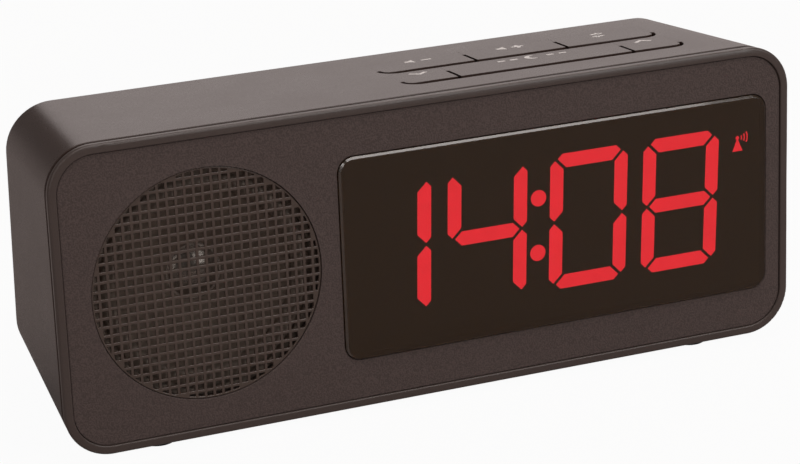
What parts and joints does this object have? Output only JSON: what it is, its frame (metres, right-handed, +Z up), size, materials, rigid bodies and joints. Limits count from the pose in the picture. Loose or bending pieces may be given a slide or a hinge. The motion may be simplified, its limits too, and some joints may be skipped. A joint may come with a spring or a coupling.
{
  "type": "radio alarm clock",
  "caption": "Wide tabletop radio alarm clock: tapered plastic cabinet with leaning face, round speaker grille, smoked digital display, tongue keys on top and a rear battery bay.",
  "frame": {"origin": "centre of the bounding box on the surface the feet stand on", "axes": "+X to the right as seen from the front, along the width; +Y from the face to the rear; +Z up"},
  "size_m": [0.1898, 0.0579, 0.0765],
  "materials": {
    "cabinet_plastic": "fine satin grain",
    "frame_plastic": "satin",
    "panel_plastic": "spark-eroded grain",
    "grille_sheet": "satin",
    "lens_smoked": "gloss",
    "segment_lit": "diffuse, lit",
    "segment_unlit": "diffuse, dark",
    "housing_black": "matt",
    "board_green": "solder mask",
    "screw_steel": "zinc plated",
    "basket_steel": "pressed steel, black",
    "magnet_dark": "sintered, dark grey",
    "cone_paper": "pressed paper, black",
    "cap_film": "polished dome",
    "surround_rubber": "soft roll",
    "key_plastic": "fine satin grain",
    "switch_black": "moulded",
    "plunger_white": "moulded",
    "chip_epoxy": "moulded epoxy",
    "can_aluminium": "drawn",
    "sink_aluminium": "extruded",
    "jack_black": "moulded",
    "pin_plated": "plated",
    "contact_plated": "nickel plated",
    "gland_rubber": "matt",
    "rod_ferrite": "ground ferrite",
    "coil_copper": "enamelled wire",
    "foot_rubber": "matt"
  },
  "bodies": {
    "clock": {"cabinet": "cabinet_plastic", "rear_cover": "cabinet_plastic", "front_frame": "frame_plastic", "front_panel": "panel_plastic", "speaker_grille": "grille_sheet", "display_lens": "lens_smoked", "lit_segments": "segment_lit", "unlit_segments": "segment_unlit", "display_housing": "housing_black", "display_board": "board_green", "main_board": "board_green", "key_board": "board_green", "display_board_screws": "screw_steel", "main_board_screws": "screw_steel", "key_board_screws": "screw_steel", "speaker_screws": "screw_steel", "rear_cover_screws": "screw_steel", "front_frame_screws": "screw_steel", "speaker_basket": "basket_steel", "speaker_magnet": "magnet_dark", "speaker_cone": "cone_paper", "speaker_dust_cap": "cap_film", "speaker_surround": "surround_rubber", "switch_bodies": "switch_black", "radio_chip": "chip_epoxy", "capacitors": "can_aluminium", "voltage_regulator": "sink_aluminium", "dc_jack": "jack_black", "dc_jack_pin": "pin_plated", "battery_contacts": "contact_plated", "antenna_gland": "gland_rubber", "ferrite_rod": "rod_ferrite", "antenna_coil": "coil_copper", "rubber_feet": "foot_rubber"},
    "key_down": {"key_down": "key_plastic"},
    "plunger_down": {"plunger_down": "plunger_white"},
    "key_snooze": {"key_snooze": "key_plastic"},
    "plunger_snooze": {"plunger_snooze": "plunger_white"},
    "key_up": {"key_up": "key_plastic"},
    "plunger_up": {"plunger_up": "plunger_white"},
    "key_volume_down": {"key_volume_down": "key_plastic"},
    "plunger_volume_down": {"plunger_volume_down": "plunger_white"},
    "key_volume_up": {"key_volume_up": "key_plastic"},
    "plunger_volume_up": {"plunger_volume_up": "plunger_white"},
    "key_mode": {"key_mode": "key_plastic"},
    "plunger_mode": {"plunger_mode": "plunger_white"},
    "battery_door": {"battery_door": "cabinet_plastic"}
  },
  "joints": [
    {"name": "key_down_press", "type": "hinge", "parent": "clock", "child": "key_down", "pos_m": [0.00585, 0.00346, 0.07303], "axis": [1, 0, 0], "range_deg": [0, 1.95], "stiffness_Nm_per_rad": 0.4},
    {"name": "plunger_down_travel", "type": "slide", "parent": "clock", "child": "plunger_down", "axis": [0, -0.1369, -0.9906], "range_m": [0, 0.0003]},
    {"name": "key_snooze_press", "type": "hinge", "parent": "clock", "child": "key_snooze", "pos_m": [0.03635, 0.00346, 0.07303], "axis": [1, 0, 0], "range_deg": [0, 1.95], "stiffness_Nm_per_rad": 0.4},
    {"name": "plunger_snooze_travel", "type": "slide", "parent": "clock", "child": "plunger_snooze", "axis": [0, -0.1369, -0.9906], "range_m": [0, 0.0003]},
    {"name": "key_up_press", "type": "hinge", "parent": "clock", "child": "key_up", "pos_m": [0.06685, 0.00346, 0.07303], "axis": [1, 0, 0], "range_deg": [0, 1.95], "stiffness_Nm_per_rad": 0.4},
    {"name": "plunger_up_travel", "type": "slide", "parent": "clock", "child": "plunger_up", "axis": [0, -0.1369, -0.9906], "range_m": [0, 0.0003]},
    {"name": "key_volume_down_press", "type": "hinge", "parent": "clock", "child": "key_volume_down", "pos_m": [0.01135, 0.01812, 0.071], "axis": [1, 0, 0], "range_deg": [0, 1.95], "stiffness_Nm_per_rad": 0.4},
    {"name": "plunger_volume_down_travel", "type": "slide", "parent": "clock", "child": "plunger_volume_down", "axis": [0, -0.1369, -0.9906], "range_m": [0, 0.0003]},
    {"name": "key_volume_up_press", "type": "hinge", "parent": "clock", "child": "key_volume_up", "pos_m": [0.03635, 0.01812, 0.071], "axis": [1, 0, 0], "range_deg": [0, 1.95], "stiffness_Nm_per_rad": 0.4},
    {"name": "plunger_volume_up_travel", "type": "slide", "parent": "clock", "child": "plunger_volume_up", "axis": [0, -0.1369, -0.9906], "range_m": [0, 0.0003]},
    {"name": "key_mode_press", "type": "hinge", "parent": "clock", "child": "key_mode", "pos_m": [0.06135, 0.01812, 0.071], "axis": [1, 0, 0], "range_deg": [0, 1.95], "stiffness_Nm_per_rad": 0.4},
    {"name": "plunger_mode_travel", "type": "slide", "parent": "clock", "child": "plunger_mode", "axis": [0, -0.1369, -0.9906], "range_m": [0, 0.0003]},
    {"name": "battery_door_swing", "type": "hinge", "parent": "clock", "child": "battery_door", "pos_m": [-0.045, 0.0272, 0.02], "axis": [-1, 0, 0], "range_deg": [0, 90]}
  ],
  "couplings": [
    {"joint": "plunger_down_travel", "follows": "key_down_press", "m_per_rad": 0.0086},
    {"joint": "plunger_snooze_travel", "follows": "key_snooze_press", "m_per_rad": 0.0086},
    {"joint": "plunger_up_travel", "follows": "key_up_press", "m_per_rad": 0.0086},
    {"joint": "plunger_volume_down_travel", "follows": "key_volume_down_press", "m_per_rad": 0.0086},
    {"joint": "plunger_volume_up_travel", "follows": "key_volume_up_press", "m_per_rad": 0.0086},
    {"joint": "plunger_mode_travel", "follows": "key_mode_press", "m_per_rad": 0.0086}
  ]
}
